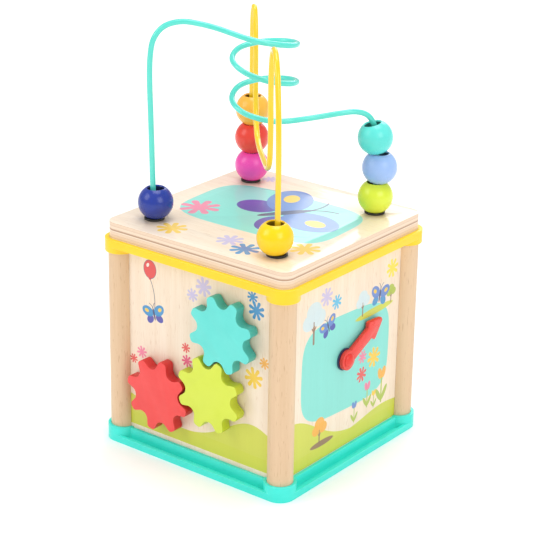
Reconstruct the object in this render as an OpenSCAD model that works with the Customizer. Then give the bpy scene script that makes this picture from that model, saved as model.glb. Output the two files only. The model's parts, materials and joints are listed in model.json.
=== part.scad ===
// Wooden activity cube: a box of four posts and four play panels on a plastic
// tray, with a plywood lid that carries two bent wires and eight beads.
// Millimetres. Origin at the centre of the underside, +Z up.
// Gears are on the -Y side and the dial is on the +X side.

/* [Box] */
// outside width of the base tray and of the top frame
box_w = 160; // [120:1:200]
// height of the top face of the plywood lid above the table
lid_top_z = 161; // [120:1:200]
// thickness of the plywood lid
lid_t = 15; // [10:0.5:20]
// corner rounding of the lid
lid_corner_r = 8; // [4:0.5:14]
// diameter of the round corner posts
post_dia = 17.5; // [12:0.5:24]
// thickness of the four side panels
panel_t = 4; // [3:0.5:6]
// how far the panels sit back from the outside of the base
panel_inset = 9.2; // [7:0.1:14]

/* [Base tray] */
// wall between a post socket and the outside of the tray
socket_wall = 2.2; // [1.6:0.1:4]
// height of the post sockets
socket_h = 11; // [8:0.5:20]
// height of the low outer lip
lip_h = 5; // [3:0.5:9]
// height of the wall in front of the panels
rail_h = 10.4; // [7:0.1:16]
// thickness of the tray's thin floors and walls
tray_t = 2.3; // [1.8:0.1:4]
// solid floor under each post
socket_floor = 5; // [4:0.5:8]
// thickness of the plywood bottom board
bottom_t = 3.5; // [2.5:0.5:6]

/* [Top frame] */
// height of the band round the lid
band_h = 5.4; // [4:0.1:10]
// height of the lid hidden inside the band
lid_seat = 3.4; // [2:0.1:6]
// how far the corner sleeves hang below the band
sleeve_drop = 4; // [2:0.5:12]
// wall of the band beside the lid
band_wall = 3; // [2:0.1:5]

/* [Gears] */
// number of teeth on each gear
gear_teeth = 8; // [6:1:12]
// centre distance of two gears in mesh
gear_pitch = 47; // [36:0.5:56]
// thickness of a gear
gear_t = 8; // [5:0.5:10]
// height of the middle gear's centre
gear_z = 60; // [50:1:80]
// sideways place of the middle gear's centre
gear_x = 15.5; // [5:0.5:25]
// direction from the middle gear to the upper gear, degrees
upper_dir = 77.5; // [60:0.5:100]
// direction from the middle gear to the side gear, degrees
side_dir = 197.2; // [180:0.1:215]
// turn of the middle gear at rest, degrees
gear_turn = 24; // [0:0.5:45]
// diameter of the gear pins
gear_pin_dia = 8; // [5:0.5:10]

/* [Dial pointer] */
// distance from the hub to the tip of the arrow
arrow_len = 42; // [30:1:50]
// width of the arrow's shaft
arrow_w = 9; // [6:0.2:12]
// width of the arrow head
arrow_head_w = 15.6; // [12:0.2:24]
// length of the arrow head
arrow_head_len = 13.2; // [8:0.2:18]
// thickness of the arrow
arrow_t = 3.2; // [2:0.2:5]
// radius of the arrow's hub
hub_r = 7; // [6:0.2:11]
// sideways place of the hub on the panel
dial_y = -3.5; // [-15:0.5:15]
// height of the hub
dial_z = 76.5; // [60:0.5:100]
// angle of the arrow above level, degrees
arrow_dir = 26; // [0:1:90]

/* [Sliders] */
// length of each slot between its end centres
slot_len = 84; // [50:1:100]
// height of the lower slot
slot_low_z = 50; // [35:1:65]
// height of the upper slot
slot_high_z = 104; // [85:1:120]
// diameter of the slider knobs
knob_dia = 26; // [18:1:32]
// diameter of the slider stems
stem_dia = 6; // [4:0.5:8]

/* [Spinning disc] */
// diameter of the disc
disc_dia = 92; // [60:1:104]
// thickness of the disc
disc_t = 5; // [3:0.5:6]
// height of the disc's centre
disc_z = 77; // [70:1:85]

/* [Beads and wires] */
// diameter of a bead
bead_dia = 24; // [20:0.5:28]
// diameter of the hole through a bead
bead_hole = 11; // [7:0.5:13]
// diameter of the coated wire
wire_dia = 3.8; // [3:0.1:5]
// distance of the wire feet from the centre, along a diagonal
foot_r = 75; // [60:1:90]
// sideways play of the front to back wire
wire_shift = -1.5; // [-3:0.5:3]
// diameter of the black washers under the beads
washer_dia = 14; // [10:0.5:18]
// thickness of the black washers
washer_t = 1.5; // [1:0.1:3]

/* [Clearances] */
// gap between glued or screwed pieces
fit_gap = 0.15; // [0.05:0.05:0.3]
// radial gap between a turning pin and its hole
run_gap = 0.06; // [0.02:0.01:0.1]
// gap between a turning piece and the panel behind it
face_gap = 0.9; // [0.4:0.1:1.5]
// gap between beads resting on one another
bead_gap = 0.25; // [0.1:0.05:0.5]

/* [Hidden] */
half = box_w / 2;
post_r = post_dia / 2;
socket_r = post_r + socket_wall;
post_at = half - socket_r;
panel_out = half - panel_inset;
panel_in = panel_out - panel_t;
panel_end = post_at - post_r * 0.54;
lid_z = lid_top_z - lid_t;
band_top = lid_z + lid_seat;
band_z = band_top - band_h;
lid_half = half - band_wall - fit_gap;
frame_open = panel_in - 8;
ledge = 5;
sleeve_z = band_z - sleeve_drop;
web_z = lid_z - 3;
post_top = web_z - fit_gap;
panel_top = band_z - fit_gap;
panel_foot = 4;
rib_out = panel_in - fit_gap;
rib_in = rib_out - tray_t;
bottom_z = 2;
flange_z = bottom_z + bottom_t + fit_gap;
screw_r = 1.65;
screw_head_r = 3.5;
screw_head_t = 1.6;
pilot_r = screw_r + fit_gap;
edge_r = 1.2;
flare_len = 2;

gear_mesh_r = gear_pitch / 2;
// the teeth are drawn for 8 teeth at a pitch of 47 and scale from there
tooth_scale = gear_pitch / 47 * 8 / gear_teeth;
gear_tip_r = gear_mesh_r + 2.9 * tooth_scale;
gear_root_r = gear_mesh_r - 4.4 * tooth_scale;
nose_r = 2.6 * tooth_scale;
nose_side = 0.9 * tooth_scale;
nose_at = gear_tip_r - nose_r;
nose_sweep = 72;
hollow_r = 5.2 * tooth_scale;
hollow_sweep = 60;
gear_step = 360 / gear_teeth;
gear_pin_r = gear_pin_dia / 2;
gear_back = panel_out + face_gap;
gear_mid = [gear_x, gear_z];
gear_up = gear_mid + gear_pitch * [cos(upper_dir), sin(upper_dir)];
gear_side = gear_mid + gear_pitch * [cos(side_dir), sin(side_dir)];
up_turn = 2 * upper_dir + 180 - gear_turn + gear_step / 2;
side_turn = 2 * side_dir + 180 - gear_turn + gear_step / 2;
clip_t = 2.2;
clip_gap = 0.3;

spacer_t = 1;
arrow_back = panel_out + 2 * fit_gap + spacer_t + fit_gap;
dial_pin_r = 3;
cap_r = 4.8;

knob_t = 8;
keeper_r = 9;
stem_r = stem_dia / 2;

disc_back = panel_out + face_gap;
disc_pin_r = 4;
peg_r = 6;
peg_at = disc_dia / 2 - 13;

bead_r = bead_dia / 2;
hole_r = bead_hole / 2;
bead_mouth = 0.9;
bead_half = sqrt(pow(bead_r, 2) - pow(hole_r + bead_mouth, 2));
bead_z1 = lid_top_z + washer_t + bead_gap + bead_half;
bead_step = 2 * bead_half + bead_gap;
wire_r = wire_dia / 2;
wire_hole_r = wire_r + 0.12;
wire_end = -lid_t - 7;
// the straight legs grow with the stack of three beads
leg_rise = 3 * bead_step - 61.66;
leg_top = 30;
ferrule_r = 4.5;
ferrule_t = 5;
// how far each bead rests to one side of its wire
navy_rest = 0.8;
yellow_rest = -1.5;
sky_rest = 2.2;
turq_rest = -1.5;
magenta_rest = 0.6;
red_rest = 0.4;
orange_rest = 0.7;
// the top bead of the right stack leans on its wire
turq_tilt = 14;
turq_lift = 0.05 * bead_r;

// route of the side to side wire, left foot to the coil: along, across, and
// up from the lid
left_route = [
    [-foot_r, 0, wire_end], [-foot_r, 0, 1], [-foot_r - 1, 0, 25],
    [-foot_r - 1.5, 0, 50], [-foot_r - 2, 0, 74], [-foot_r - 2.5, 0, 95],
    [-foot_r - 2, 0, 112], [-foot_r + 0.5, 0, 124], [-foot_r + 7.5, 0, 132],
    [-56.5, 1, 135], [-45, 4, 134], [-33.5, 9.5, 132],
    [-22.5, 14.5, 129], [-12, 17.5, 126]];
// coil round the centre: turn angle, height above the lid
coil_route = [
    [0, 124], [45, 121], [90, 119], [135, 117.5], [180, 116], [225, 113.5],
    [270, 109], [315, 104], [360, 99], [405, 95.5], [450, 93.5],
    [495, 92], [540, 90.5], [585, 87.5], [630, 82], [675, 76.5],
    [720, 72.5]];
coil_mid = -2;
coil_w = 21.5;
coil_d = 18.5;
// from the coil to the right foot
right_route = [
    [10, 17.5, 71.5], [23, 13.5, 71.5], [36, 9.5, 72], [48, 5.5, 72.5],
    [foot_r - 16, 2.5, 72.5], [foot_r - 7.5, 1, 69.5], [foot_r - 2.5, 0, 62],
    [foot_r - 0.5, 0, 51], [foot_r, 0, 35], [foot_r, 0, 18], [foot_r, 0, 1],
    [foot_r, 0, wire_end]];
// route of the front to back wire: along, and up from the lid
yellow_route = [
    [foot_r, wire_end], [foot_r, 1], [foot_r, 19], [foot_r, 37],
    [foot_r, 54], [foot_r - 1.5, 71], [foot_r - 4, 87], [foot_r - 8, 102],
    [foot_r - 13.5, 116], [foot_r - 22, 125], [43.5, 126.5], [35.5, 120.5],
    [31.5, 107], [31, 91], [32.5, 75], [32.5, 60], [29, 47], [19, 40],
    [4, 39], [-12, 39], [-28, 40], [-40, 44], [-48, 54], [-52, 69],
    [-54, 85], [20 - foot_r, 101], [17.5 - foot_r, 116], [12 - foot_r, 127],
    [5 - foot_r, 127], [0.5 - foot_r, 116], [-foot_r, 101], [-foot_r, 81],
    [-foot_r, 61], [-foot_r, 41], [-foot_r, 21], [-foot_r, 1],
    [-foot_r, wire_end]];
wire_steps = 5;
wire_sides = 10;
tiny = 0.01;

// ---- helpers ----

// point on the lid plane from its place along and across the diagonals
function diag(a, b) = [(a + b) / sqrt(2), (a - b) / sqrt(2)];
function unit(v) = v / norm(v);
function spline(p0, p1, p2, p3, t) =
    0.5 * (2 * p1 + (p2 - p0) * t + (2 * p0 - 5 * p1 + 4 * p2 - p3) * t * t
    + (3 * p1 - p0 - 3 * p2 + p3) * t * t * t);
function smooth_path(p, n) = let (last = len(p) - 1) concat(
    [for (i = [0 : last - 1]) for (k = [0 : n - 1])
        spline(p[max(i - 1, 0)], p[i], p[i + 1], p[min(i + 2, last)], k / n)],
    [p[last]]);
function tangent(p, i) =
    unit(p[min(i + 1, len(p) - 1)] - p[max(i - 1, 0)]);
function carry(v, t) = unit(v - (v * t) * t);
// a side direction carried along the path without twisting
function sides(p) =
    [for (i = 0, v = carry([0, 1, 0], tangent(p, 0)); i < len(p);
        i = i + 1, v = i < len(p) ? carry(v, tangent(p, i)) : v) v];

function above_lid(h) = lid_top_z + h + (h > leg_top ? leg_rise : 0);
coil_points = [for (c = coil_route)
    [coil_mid + coil_w * sin(c[0]), coil_d * cos(c[0]), c[1]]];
turquoise_path = smooth_path([for (p = concat(left_route, coil_points,
    right_route)) let (q = diag(p[0], p[1])) [q[0], q[1], above_lid(p[2])]],
    wire_steps);
yellow_path = smooth_path([for (p = yellow_route)
    let (q = diag(wire_shift, p[0])) [q[0], q[1], above_lid(p[1])]],
    wire_steps);
feet = [diag(-foot_r, 0), diag(foot_r, 0), diag(wire_shift, foot_r),
    diag(wire_shift, -foot_r)];
corners = [[1, -1], [-1, -1], [1, 1], [-1, 1]];

module disc(r, z0, z1) {
    translate([0, 0, z0]) cylinder(r = r, h = z1 - z0, $fn = 64);
}

module rounded_plate(h, r, z0, z1) {
    translate([0, 0, z0]) linear_extrude(z1 - z0) {
        square([2 * h, 2 * (h - r)], center = true);
        square([2 * (h - r), 2 * h], center = true);
        for (c = corners) translate((h - r) * c) circle(r, $fn = 64);
    }
}

module square_ring(out, in, z0, z1) {
    translate([0, 0, z0]) linear_extrude(z1 - z0) difference() {
        square(2 * out, center = true);
        square(2 * in, center = true);
    }
}

module at_corners() {
    for (c = corners) translate(post_at * c) children();
}

// the space the four panels and their grooves take up
module panel_space(z0, z1, gap) {
    for (a = [0 : 90 : 270]) rotate(a)
        translate([-panel_end - gap, -panel_out - gap, z0])
            cube([2 * (panel_end + gap), panel_t + 2 * gap, z1 - z0]);
}

// turns a piece drawn flat, with +Z out of the panel, to one of the sides
module on_side(turn, across, up, out) {
    rotate(turn) translate([across, -out, up]) rotate([90, 0, 0]) children();
}

module tube(path, r) {
    n = len(path);
    side = sides(path);
    ring = [for (i = [0 : n - 1])
        let (t = tangent(path, i), u = side[i], v = cross(t, u))
        for (k = [0 : wire_sides - 1])
            path[i] + r * (cos(k * 360 / wire_sides) * u
                + sin(k * 360 / wire_sides) * v)];
    skin = [for (i = [0 : n - 2]) for (k = [0 : wire_sides - 1])
        let (a = i * wire_sides, m = (k + 1) % wire_sides)
        [a + k, a + wire_sides + k, a + wire_sides + m, a + m]];
    first = [for (k = [0 : wire_sides - 1]) k];
    end = [for (k = [wire_sides - 1 : -1 : 0]) (n - 1) * wire_sides + k];
    polyhedron(points = ring, faces = concat([first], skin, [end]));
}

// screw pointing up, its head's underside at z = 0
module screw(len) {
    disc(screw_r, 0, len);
    disc(screw_head_r, -screw_head_t, tiny);
}

// ---- fixed frame ----

module base_tray() color("Turquoise") difference() {
    union() {
        difference() {
            rounded_plate(half, socket_r, 0, lip_h);
            rounded_plate(half - tray_t, post_r, tray_t, lip_h + tiny);
            rounded_plate(rib_in, tray_t, -tiny, tray_t + tiny);
        }
        square_ring(panel_out + fit_gap + tray_t, panel_out + fit_gap,
            0, rail_h);
        square_ring(panel_out + fit_gap + tiny, rib_in, 0, panel_foot);
        square_ring(rib_out, rib_in, 0, rail_h - 2);
        square_ring(rib_in + tiny, frame_open - ledge, flange_z,
            flange_z + tray_t);
        at_corners() disc(socket_r, 0, socket_h);
    }
    at_corners() {
        disc(post_r + fit_gap, socket_floor, socket_h + tiny);
        disc(pilot_r, -tiny, socket_floor + tiny);
        disc(screw_head_r + fit_gap, -tiny, screw_head_t + 0.5);
    }
    panel_space(panel_foot, socket_h + tiny, fit_gap);
    for (a = [0 : 90 : 270]) rotate(a) translate([0, frame_open, 0])
        disc(pilot_r, 0, flange_z + tray_t + 1);
}

module base_board() color("BurlyWood") difference() {
    rounded_plate(rib_in - 2 * fit_gap, tray_t, bottom_z, bottom_z + bottom_t);
    for (a = [0 : 90 : 270]) rotate(a) translate([0, frame_open, 0])
        disc(pilot_r, bottom_z - 1, bottom_z + bottom_t + 1);
    at_corners() disc(socket_r + 2 * fit_gap, bottom_z - 1, flange_z);
}

module base_board_screws() color("Silver")
    for (a = [0 : 90 : 270]) rotate(a)
        translate([0, frame_open, bottom_z - 0.1])
            screw(flange_z + tray_t - bottom_z);

module post_screws_low() color("Silver") at_corners()
    translate([0, 0, screw_head_t + 0.4]) screw(26);

module post_screws_high() color("Silver") at_corners()
    translate([0, 0, web_z + 1.1]) rotate([180, 0, 0]) screw(24);

module post(c) color("Tan") difference() {
    translate(post_at * c) disc(post_r, socket_floor + fit_gap, post_top);
    panel_space(panel_foot, post_top + 1, fit_gap);
    translate(post_at * c) {
        disc(pilot_r, 0, screw_head_t + 28);
        disc(pilot_r, web_z - 25, post_top + 1);
    }
}
module post_front() post(corners[0]);
module post_left() post(corners[1]);
module post_right() post(corners[2]);
module post_back() post(corners[3]);

module panel(turn) {
    rotate(turn) translate([-panel_end, -panel_out, panel_foot + fit_gap])
        cube([2 * panel_end, panel_t, panel_top - panel_foot - fit_gap]);
}

module pin_bore(turn, at, r) {
    on_side(turn, at[0], at[1], panel_in - 1)
        disc(r + run_gap, 0, panel_t + 2);
}

module panel_gears() color("Wheat") difference() {
    panel(0);
    for (g = [gear_mid, gear_up, gear_side]) pin_bore(0, g, gear_pin_r);
}

module panel_dial() color("Wheat") difference() {
    panel(90);
    pin_bore(90, [dial_y, dial_z], dial_pin_r);
}

module panel_spin() color("Wheat") difference() {
    panel(180);
    pin_bore(180, [0, disc_z], disc_pin_r);
}

module slot(z) {
    on_side(270, 0, z, panel_in - 1) for (s = [-1, 1])
        translate([s * slot_len / 2, 0, 0])
            disc(stem_r + 2 * fit_gap, 0, panel_t + 2);
    on_side(270, 0, z, panel_in - 1)
        translate([-slot_len / 2, -stem_r - 2 * fit_gap, 0])
            cube([slot_len, stem_dia + 4 * fit_gap, panel_t + 2]);
}

module panel_slide() color("Wheat") difference() {
    panel(270);
    slot(slot_low_z);
    slot(slot_high_z);
}

module top_frame() color("Gold") difference() {
    union() {
        difference() {
            rounded_plate(half, socket_r, band_z, band_top);
            rounded_plate(half - band_wall, lid_corner_r + fit_gap,
                lid_z - fit_gap, band_top + tiny);
        }
        square_ring(rib_out, rib_in, band_z - 5, band_z + tiny);
        at_corners() disc(socket_r, sleeve_z, lid_z - fit_gap);
    }
    translate([0, 0, band_z - 1]) linear_extrude(band_h + 2)
        square(2 * (frame_open - ledge), center = true);
    for (f = feet) translate(f)
        disc(ferrule_r + 0.5, band_z - 1, lid_z);
    at_corners() {
        disc(post_r + fit_gap, sleeve_z - 1, web_z);
        disc(pilot_r, web_z - 1, lid_z);
        disc(screw_head_r + fit_gap, web_z + 1, lid_z);
    }
    panel_space(sleeve_z - 1, band_z, fit_gap);
    for (a = [0 : 90 : 270]) rotate(a) translate([0, frame_open, 0])
        disc(pilot_r, band_z - 1, lid_z + 1);
}

module lid_board() color("Wheat") difference() {
    rounded_plate(lid_half, lid_corner_r, lid_z, lid_top_z);
    for (f = feet) translate(f)
        disc(wire_hole_r, lid_z - 1, lid_top_z + 1);
    for (a = [0 : 90 : 270]) rotate(a) translate([0, frame_open, 0])
        disc(pilot_r, lid_z - 1, lid_z + 9.5);
}

module lid_screws() color("Silver")
    for (a = [0 : 90 : 270]) rotate(a)
        translate([0, frame_open, band_z - 0.1]) screw(lid_z - band_z + 9);

module wire_turquoise() color("MediumTurquoise") tube(turquoise_path, wire_r);

module wire_yellow() color("Gold") tube(yellow_path, wire_r);

module wire_ferrules() color("Silver") for (f = feet) translate(f)
    difference() {
        disc(ferrule_r, lid_z - fit_gap - ferrule_t, lid_z - fit_gap);
        disc(wire_hole_r, lid_z - 8, lid_z + 1);
    }

module wire_washers() color("Black") for (f = feet) translate(f)
    difference() {
        disc(washer_dia / 2, lid_top_z + 0.1, lid_top_z + washer_t);
        disc(wire_hole_r, lid_top_z - 1, lid_top_z + washer_t + 1);
    }

// ---- gears ----

// outline of a round-nosed tooth and the hollow after it, tooth along +X
function turned(v, a) =
    [v[0] * cos(a) - v[1] * sin(a), v[0] * sin(a) + v[1] * cos(a)];
function arc(mid, r, a0, a1, n) =
    [for (k = [0 : n]) let (a = a0 + (a1 - a0) * k / n)
        mid + r * [cos(a), sin(a)]];
tooth_points = concat(
    arc([nose_at, -nose_side], nose_r, -nose_sweep, 0, 6),
    arc([nose_at, nose_side], nose_r, 0, nose_sweep, 6),
    [for (v = arc([gear_root_r + hollow_r, 0], hollow_r,
        180 + hollow_sweep, 180 - hollow_sweep, 8))
        turned(v, gear_step / 2)]);

module gear_outline() {
    polygon([for (i = [0 : gear_teeth - 1]) for (v = tooth_points)
        turned(v, i * gear_step)]);
}

module gear(at, turn) {
    on_side(0, at[0], at[1], gear_back) difference() {
        rotate(turn) linear_extrude(gear_t) gear_outline();
        disc(gear_pin_r, -1, gear_t * 0.7);
    }
}

// pin through the panel with a flange behind the gear
module gear_pin(at) {
    on_side(0, at[0], at[1], gear_back) {
        disc(gear_pin_r - 0.02, -face_gap - panel_t - clip_gap - clip_t,
            gear_t * 0.7 - 0.1);
        disc(gear_pin_r + 3, 0.3 - face_gap, -0.1);
    }
}

module clip(turn, at, r) {
    on_side(turn, at[0], at[1], panel_in - clip_gap - clip_t) difference() {
        disc(r + 4, 0, clip_t);
        disc(r + 0.02, -1, clip_t + 1);
    }
}

module gear_turquoise() color("MediumTurquoise") gear(gear_up, up_turn);
module gear_turquoise_pin() color("Tan") gear_pin(gear_up);
module gear_turquoise_clip() color("White") clip(0, gear_up, gear_pin_r);
module gear_lime() color("YellowGreen") gear(gear_mid, gear_turn);
module gear_lime_pin() color("Tan") gear_pin(gear_mid);
module gear_lime_clip() color("White") clip(0, gear_mid, gear_pin_r);
module gear_red() color("Tomato") gear(gear_side, side_turn);
module gear_red_pin() color("Tan") gear_pin(gear_side);
module gear_red_clip() color("White") clip(0, gear_side, gear_pin_r);

// ---- dial pointer ----

module arrow_outline() {
    head_at = arrow_len - arrow_head_len;
    circle(hub_r, $fn = 64);
    translate([0, -arrow_w / 2]) square([head_at + 3, arrow_w]);
    polygon([[head_at - flare_len, -arrow_w / 2], [head_at, -arrow_head_w / 2],
        [head_at + 1.4, -arrow_head_w / 2], [arrow_len, -1.2], [arrow_len, 1.2],
        [head_at + 1.4, arrow_head_w / 2], [head_at, arrow_head_w / 2],
        [head_at - flare_len, arrow_w / 2]]);
}

module dial_arrow() color("Red") on_side(90, dial_y, dial_z, arrow_back)
    difference() {
        rotate(arrow_dir) linear_extrude(arrow_t) arrow_outline();
        disc(dial_pin_r + 0.02, -1, arrow_t + 1);
    }

module dial_spacer() color("Navy")
    on_side(90, dial_y, dial_z, panel_out + 2 * fit_gap) difference() {
        disc(hub_r + 0.8, 0, spacer_t);
        disc(dial_pin_r + 0.02, -1, spacer_t + 1);
    }

// pin with a domed button in front of the arrow
module dial_pin() color("Red") on_side(90, dial_y, dial_z, arrow_back) {
    disc(dial_pin_r, panel_in - clip_gap - clip_t - arrow_back,
        arrow_t + 0.2);
    translate([0, 0, arrow_t + 0.1]) rotate_extrude($fn = 64)
        intersection() {
            translate([0, -4.2]) circle(6.6, $fn = 64);
            square([cap_r, 3]);
        }
}

module dial_clip() color("White") clip(90, [dial_y, dial_z], dial_pin_r);

// ---- sliders ----

module knob(z, across) {
    on_side(270, across, z, panel_out + fit_gap + 0.1) difference() {
        rotate_extrude($fn = 64) difference() {
            square([knob_dia / 2, knob_t]);
            translate([knob_dia / 2 - 2.5, knob_t - 2.5]) difference() {
                square(3);
                circle(2.5, $fn = 48);
            }
        }
        disc(stem_r + 0.02, -1, knob_t * 0.6);
    }
}

module stem(z, across) {
    on_side(270, across, z, panel_in - clip_gap - clip_t) {
        disc(stem_r, 0, clip_t + clip_gap + panel_t + fit_gap + knob_t * 0.6);
        disc(keeper_r, 0, clip_t);
    }
}

slide_start = slot_len / 2 - 2;
module slider_low_knob() color("Orange") knob(slot_low_z, -slide_start);
module slider_low_stem() color("White") stem(slot_low_z, -slide_start);
module slider_high_knob() color("DeepSkyBlue") knob(slot_high_z, slide_start);
module slider_high_stem() color("White") stem(slot_high_z, slide_start);

// ---- spinning disc ----

module spin_disc() color("Khaki") on_side(180, 0, disc_z, disc_back)
    difference() {
        rotate_extrude($fn = 128) difference() {
            square([disc_dia / 2, disc_t]);
            translate([disc_dia / 2 - edge_r, disc_t - edge_r]) difference() {
                square(edge_r + 1);
                circle(edge_r, $fn = 32);
            }
        }
        disc(disc_pin_r + 0.02, -1, disc_t + 1);
        translate([0, peg_at, 0]) disc(stem_r + 0.02, 1, disc_t + 1);
    }

module spin_peg() color("Red") on_side(180, 0, disc_z, disc_back)
    translate([0, peg_at, 0]) {
        disc(stem_r, 1.1, disc_t + 1);
        rotate_extrude($fn = 64) difference() {
            translate([0, disc_t + 0.1]) square([peg_r, 2.6]);
            translate([peg_r - edge_r, disc_t + 2.7 - edge_r]) difference() {
                square(edge_r + 1);
                circle(edge_r, $fn = 32);
            }
        }
    }

module spin_pin() color("Tomato") on_side(180, 0, disc_z, disc_back) {
    disc(disc_pin_r, panel_in - clip_gap - clip_t - disc_back, disc_t + 0.3);
    translate([0, 0, disc_t + 0.1]) rotate_extrude($fn = 64)
        intersection() {
            translate([0, -9]) circle(11.5, $fn = 64);
            square([7, 3]);
        }
    disc(disc_pin_r + 3, 0.3 - face_gap, -0.1);
}

module spin_clip() color("White") clip(180, [0, disc_z], disc_pin_r);

// ---- beads ----

module bead() {
    rotate_extrude($fn = 96) difference() {
        circle(bead_r, $fn = 96);
        translate([-2 * bead_r, -bead_r]) square([2 * bead_r + hole_r,
            2 * bead_r]);
        for (s = [-1, 1]) polygon([
            [hole_r - 1, s * (bead_half - 1.5 * bead_mouth)],
            [hole_r, s * (bead_half - 1.5 * bead_mouth)],
            [hole_r + bead_mouth, s * bead_half],
            [hole_r + bead_mouth, s * bead_r], [hole_r - 1, s * bead_r]]);
    }
}

module bead_at(a, b, z) {
    translate(concat(diag(a, b), [z])) bead();
}

module bead_navy() color("Navy") bead_at(navy_rest - foot_r, 0, bead_z1);
module bead_yellow() color("Gold") bead_at(wire_shift + yellow_rest, foot_r,
    bead_z1);
module bead_lime() color("YellowGreen") bead_at(foot_r, 0, bead_z1);
module bead_sky() color("SkyBlue") bead_at(foot_r + sky_rest, 0,
    bead_z1 + bead_step);
module bead_turquoise() color("Turquoise")
    translate(concat(diag(foot_r + turq_rest, 0),
        [bead_z1 + 2 * bead_step + turq_lift]))
        rotate(45) rotate([0, -turq_tilt, 0]) bead();
module bead_magenta() color("HotPink") bead_at(wire_shift + magenta_rest, -foot_r,
    bead_z1);
module bead_red() color("Tomato") bead_at(wire_shift + red_rest, -foot_r,
    bead_z1 + bead_step);
module bead_orange() color("Orange") bead_at(wire_shift + orange_rest, -foot_r,
    bead_z1 + 2 * bead_step);

// ---- one line per piece ----

base_tray();
base_board();
base_board_screws();
post_screws_low();
post_front();
post_left();
post_right();
post_back();
panel_gears();
panel_dial();
panel_spin();
panel_slide();
top_frame();
post_screws_high();
lid_board();
lid_screws();
wire_turquoise();
wire_yellow();
wire_ferrules();
wire_washers();
gear_turquoise();
gear_turquoise_pin();
gear_turquoise_clip();
gear_lime();
gear_lime_pin();
gear_lime_clip();
gear_red();
gear_red_pin();
gear_red_clip();
dial_arrow();
dial_spacer();
dial_pin();
dial_clip();
slider_low_knob();
slider_low_stem();
slider_high_knob();
slider_high_stem();
spin_disc();
spin_peg();
spin_pin();
spin_clip();
bead_navy();
bead_yellow();
bead_lime();
bead_sky();
bead_turquoise();
bead_magenta();
bead_red();
bead_orange();
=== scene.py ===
"""Dresses the activity cube: soft-edged pieces, finishes, prints and a studio."""

import json
import logging
import math
from collections.abc import Callable
from dataclasses import dataclass
from enum import Enum

import bmesh
import bpy
from bmesh.types import BMesh
from bpy.types import Material, Node, NodeOutputs, NodeTree, Object
from bpy.types import NodeSocket as Socket
from mathutils import Matrix, Vector

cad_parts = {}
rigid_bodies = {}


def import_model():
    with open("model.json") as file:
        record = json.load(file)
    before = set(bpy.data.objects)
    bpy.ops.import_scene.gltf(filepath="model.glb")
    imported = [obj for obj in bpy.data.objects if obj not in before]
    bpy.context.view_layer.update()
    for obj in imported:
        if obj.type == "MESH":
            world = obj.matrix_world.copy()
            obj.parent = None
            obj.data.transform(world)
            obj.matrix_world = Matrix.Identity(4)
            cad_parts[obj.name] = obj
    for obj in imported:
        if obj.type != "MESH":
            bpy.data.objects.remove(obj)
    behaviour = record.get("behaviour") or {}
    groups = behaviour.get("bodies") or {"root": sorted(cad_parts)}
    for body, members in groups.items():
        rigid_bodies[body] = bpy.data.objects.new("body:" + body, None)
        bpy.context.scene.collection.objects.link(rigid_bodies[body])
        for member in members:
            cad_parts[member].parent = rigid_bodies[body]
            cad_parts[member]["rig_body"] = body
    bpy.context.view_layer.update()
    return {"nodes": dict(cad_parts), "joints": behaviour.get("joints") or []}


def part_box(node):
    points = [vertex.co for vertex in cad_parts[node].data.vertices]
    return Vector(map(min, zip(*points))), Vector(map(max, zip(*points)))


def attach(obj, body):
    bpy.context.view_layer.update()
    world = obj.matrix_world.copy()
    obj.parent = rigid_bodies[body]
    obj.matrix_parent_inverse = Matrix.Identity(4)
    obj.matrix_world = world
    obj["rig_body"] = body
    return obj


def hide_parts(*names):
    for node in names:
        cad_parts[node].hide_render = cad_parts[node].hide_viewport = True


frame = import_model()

LOG = logging.getLogger("activity_cube")
MM = 0.001

Sockets = dict[str, Socket]
Point = tuple[float, float]
Place = tuple[float, float, float]
Colour = tuple[float, float, float, float]
Value = float | tuple | Socket


def ink(red: int, green: int, blue: int) -> Colour:
    """Turns an 8-bit display colour into the linear colour that shaders use.

    Args:
        red: 0 to 255, as are the others.
        green: the green part.
        blue: the blue part.

    Returns:
        The colour, fully opaque.
    """
    def linear(part: int) -> float:
        """One channel, 0 to 255, as linear light."""
        share = part / 255
        return share / 12.92 if share <= 0.04045 else ((share + 0.055) / 1.055) ** 2.4

    return (linear(red), linear(green), linear(blue), 1.0)


class Side(Enum):
    """The printed faces: their outward direction, and what runs across and up them."""

    GEARS = (Vector((0, -1, 0)), Vector((1, 0, 0)), Vector((0, 0, 1)))
    DIAL = (Vector((1, 0, 0)), Vector((0, 1, 0)), Vector((0, 0, 1)))
    SPIN = (Vector((0, 1, 0)), Vector((-1, 0, 0)), Vector((0, 0, 1)))
    SLIDE = (Vector((-1, 0, 0)), Vector((0, -1, 0)), Vector((0, 0, 1)))
    LID = (Vector((0, 0, 1)), Vector((1, 0, 0)), Vector((0, 1, 0)))


class Grain(Enum):
    """How a stretched noise is turned so that wood grain runs along one axis."""

    ALONG_X = (0.0, math.pi / 2, 0.0)
    ALONG_Y = (math.pi / 2, 0.0, 0.0)
    ALONG_Z = (0.0, 0.0, 0.0)


# ---------------------------------------------------------------- shader help


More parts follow.
